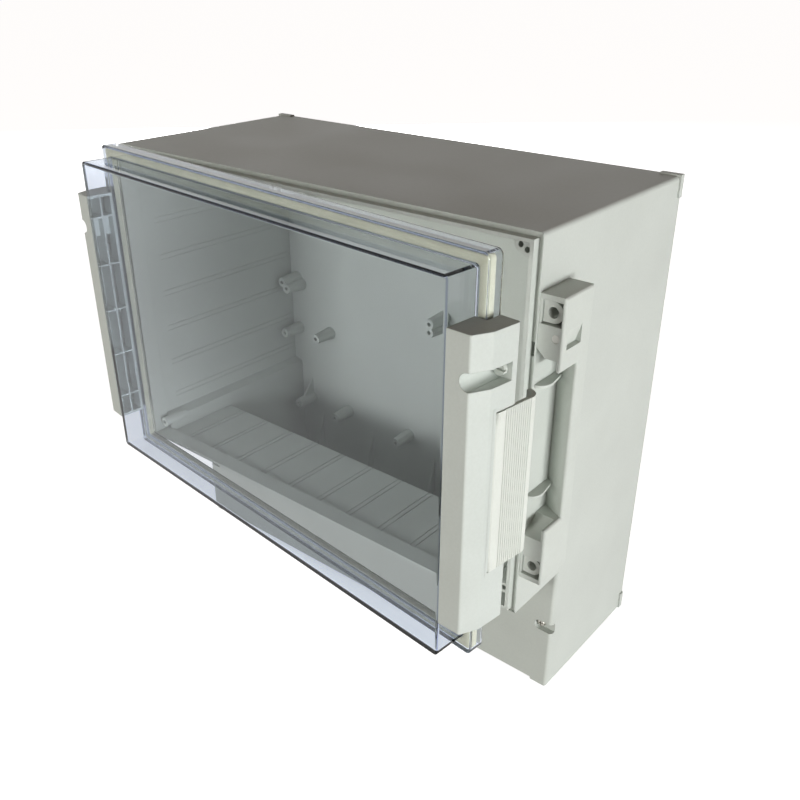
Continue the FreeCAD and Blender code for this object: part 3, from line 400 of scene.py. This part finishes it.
def turned_metal(name, pale, dull, roughness):
    """Small turned or cold-headed metal pieces: a soft shine with light spots."""
    material, tree = new_material(name)
    place = add(tree, "ShaderNodeTexCoord").outputs["Object"]
    spots = add(tree, "ShaderNodeTexNoise", {}, {"Vector": place, "Scale": per_mm(2), "Detail": 4.0})
    ramp = add(tree, "ShaderNodeValToRGB", {}, {"Fac": spots.outputs["Fac"]})
    ramp.color_ramp.elements[0].position = 0.35
    ramp.color_ramp.elements[0].color = linear(dull)
    ramp.color_ramp.elements[1].position = 0.7
    ramp.color_ramp.elements[1].color = linear(pale)
    gloss = add(tree, "ShaderNodeMapRange", {}, {
        "Value": spots.outputs["Fac"], "To Min": roughness - 0.06, "To Max": roughness + 0.1})
    soft = add(tree, "ShaderNodeBevel", {"samples": 4}, {"Radius": 0.0002})
    bump = add(tree, "ShaderNodeBump", {}, {
        "Height": spots.outputs["Fac"], "Strength": 0.1, "Distance": 0.0001,
        "Normal": soft.outputs["Normal"]})
    shader = add(tree, "ShaderNodeBsdfPrincipled", {}, {
        "Base Color": ramp.outputs["Color"], "Metallic": 1.0, "Roughness": gloss.outputs["Result"],
        "Normal": bump.outputs["Normal"]})
    add(tree, "ShaderNodeOutputMaterial", {}, {"Surface": shader.outputs["BSDF"]})
    return material


def finished(piece, material):
    """The piece, with the material in its one slot."""
    piece.data.materials.append(material)
    return piece


def web_of_flap(name, side, material):
    """A film hinge, blended from the lid to the flap's body across the root."""
    web = finished(film_hinge(name, side), material)
    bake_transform(web)


def seen_by_eye(tree):
    """One for rays from the camera, and those that gloss or clear plastic sends on; nought once
    matt surfaces have scattered them."""
    path = add(tree, "ShaderNodeLightPath").outputs
    bright = add(tree, "ShaderNodeMath", {"operation": "ADD"}, {
        0: path["Is Camera Ray"], 1: path["Is Glossy Ray"]})
    any_of = add(tree, "ShaderNodeMath", {"operation": "ADD", "use_clamp": True}, {
        0: bright.outputs[0], 1: path["Is Transmission Ray"]})
    fresh = add(tree, "ShaderNodeMath", {"operation": "LESS_THAN"}, {0: path["Diffuse Depth"], 1: 0.5})
    both = add(tree, "ShaderNodeMath", {"operation": "MULTIPLY"}, {0: any_of.outputs[0], 1: fresh.outputs[0]})
    return both.outputs[0]


def floor_material():
    """Plain white floor: matt, with a white glow for the eye alone, so only soft shadow shows."""
    material, tree = new_material("white_studio_floor")
    matt = add(tree, "ShaderNodeBsdfDiffuse", {}, {"Color": linear("#E6E6E6")})
    strength = add(tree, "ShaderNodeMath", {"operation": "MULTIPLY"}, {0: seen_by_eye(tree), 1: 0.9})
    glow = add(tree, "ShaderNodeEmission", {}, {"Color": (1, 1, 1, 1), "Strength": strength.outputs[0]})
    both = add(tree, "ShaderNodeAddShader", {}, {0: matt.outputs[0], 1: glow.outputs[0]})
    add(tree, "ShaderNodeOutputMaterial", {}, {"Surface": both.outputs[0]})
    return material


def studio_floor():
    """A flat round floor under the feet: points at one radius about its middle."""
    turn = np.linspace(0, 2 * math.pi, 97)[:-1]
    level = np.full_like(turn, FLOOR_LEVEL)
    points = np.stack([FLOOR_RADIUS * np.cos(turn), FLOOR_RADIUS * np.sin(turn), level], axis=-1)
    floor = mesh_piece("studio_floor", points, [list(range(len(turn)))], smooth=False)
    finished(floor, floor_material())


def studio_world():
    """White to the eye and in reflections and through the hood; dim and warm as a light."""
    world = bpy.data.worlds.new("studio")
    world.use_nodes = True
    tree = world.node_tree
    tree.nodes.clear()
    colour = add(tree, "ShaderNodeMix", {"data_type": "RGBA"}, {
        "Factor": seen_by_eye(tree), 6: (0.12, 0.095, 0.08, 1), 7: (1, 1, 1, 1)})
    back = add(tree, "ShaderNodeBackground", {}, {"Color": colour.outputs[2], "Strength": 1.0})
    add(tree, "ShaderNodeOutputWorld", {}, {"Surface": back.outputs[0]})
    bpy.context.scene.world = world


def soft_lamp(name, place, wide, tall, power, colour):
    """A soft rectangular lamp, turned to face the enclosure. Its light passes the hood as if the
    hood cast no shadow, so the hood's refraction doesn't show the lamp a second time."""
    lamp = bpy.data.lights.new(name, "AREA")
    lamp.shape = "RECTANGLE"
    lamp.size = wide
    lamp.size_y = tall
    lamp.energy = power
    lamp.color = linear(colour)[:3]
    holder = bpy.data.objects.new(name, lamp)
    bpy.context.collection.objects.link(holder)
    holder.visible_transmission = False
    holder.location = place
    holder.rotation_euler = (LAMP_AIM - Vector(place)).to_track_quat("-Z", "Y").to_euler()


def studio_camera():
    """The view of the photograph: from the front right and above."""
    camera = bpy.data.cameras.new("camera")
    camera.sensor_width = SENSOR_MM
    camera.lens = LENS_MM
    holder = bpy.data.objects.new("camera", camera)
    bpy.context.collection.objects.link(holder)
    forward = LOOK.normalized()
    right = forward.cross(UPWARDS).normalized()
    up = right.cross(forward).normalized()
    turn = Matrix((right, up, -forward)).transposed()
    holder.matrix_world = Matrix.Translation(EYE) @ turn.to_4x4()
    bpy.context.scene.camera = holder


# Each node's name starts with the word that gives its finish
grey_housing = moulded_plastic("grey_moulded_polycarbonate", "#CCD2CC", "#C3C9C3", 0.46, 0.5)
grey_bracket = moulded_plastic("grey_moulded_abs_bracket", "#CDD3CD", "#C4CAC3", 0.42, 0.45)
grey_strip = moulded_plastic("grey_moulded_abs_strip", "#D0D7D2", "#C6CDC7", 0.44, 0.9)
# painted light: the flaps and their webs are the strips' plastic painted paler, as if lit, since their faces
# turn to the light
grey_flap_painted_lit = moulded_plastic("grey_moulded_flap_painted_lit", "#E0E5DE", "#D7DCD5", 0.44, 0.3)
grey_nylon = moulded_plastic("grey_moulded_nylon", "#D0D5CF", "#C6CBC5", 0.5, 0.2)
pale_nylon = moulded_plastic("natural_moulded_nylon", "#E6E8E2", "#DCDED7", 0.4, 0.3)
clear = clear_polycarbonate()
foam = poured_foam()
zinc = turned_metal("zinc_plated_steel", "#C9C7C0", "#A8A59C", 0.32)
brass = turned_metal("turned_brass", "#D8B878", "#B8965A", 0.3)
finishes = {
    "housing": grey_housing,
    "bracket": grey_bracket,
    "latch_strip": grey_strip,
    "hinge_strip": grey_strip,
    "latch_flap": grey_flap_painted_lit,
    "hinge_flap": grey_flap_painted_lit,
    "fixing_sleeve": grey_nylon,
    "lock_screw": grey_nylon,
    "blank_plug": pale_nylon,
    "chamber_screw": zinc,
    "screw_insert": brass,
    "hood": clear,
    "lid_gasket": foam,
}
for node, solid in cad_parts.items():
    start = next(word for word in finishes if node.startswith(word))
    for slot in solid.material_slots:
        slot.material = finishes[start]

# The pieces of the lid that stand for solids
hood_piece = finished(clear_hood(), clear)
hood_piece.visible_shadow = False
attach(hood_piece, "lid")
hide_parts("hood")

seal_piece = finished(foam_seal(), foam)
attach(seal_piece, "lid")
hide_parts("lid_gasket")

# the webs take the flaps' plastic, painted paler as if lit
web_of_flap("film_hinge_right", 1, grey_flap_painted_lit)
web_of_flap("film_hinge_left", -1, grey_flap_painted_lit)

# The studio; the lamps stand low, so the top gets little more than the dim light of the room
studio_floor()
studio_world()
soft_lamp("key", (1.8, -0.48, 0.0), 1.0, 0.34, 24.0, "#FFFFFF")
soft_lamp("fill", (-0.45, -2.4, 0.3), 0.9, 0.6, 19.0, "#FFFDF8")
soft_lamp("rear", (-1.7, 1.6, 0.0), 1.2, 0.34, 34.0, "#FFFFFF")
studio_camera()
bpy.context.scene.view_settings.view_transform = "Standard"
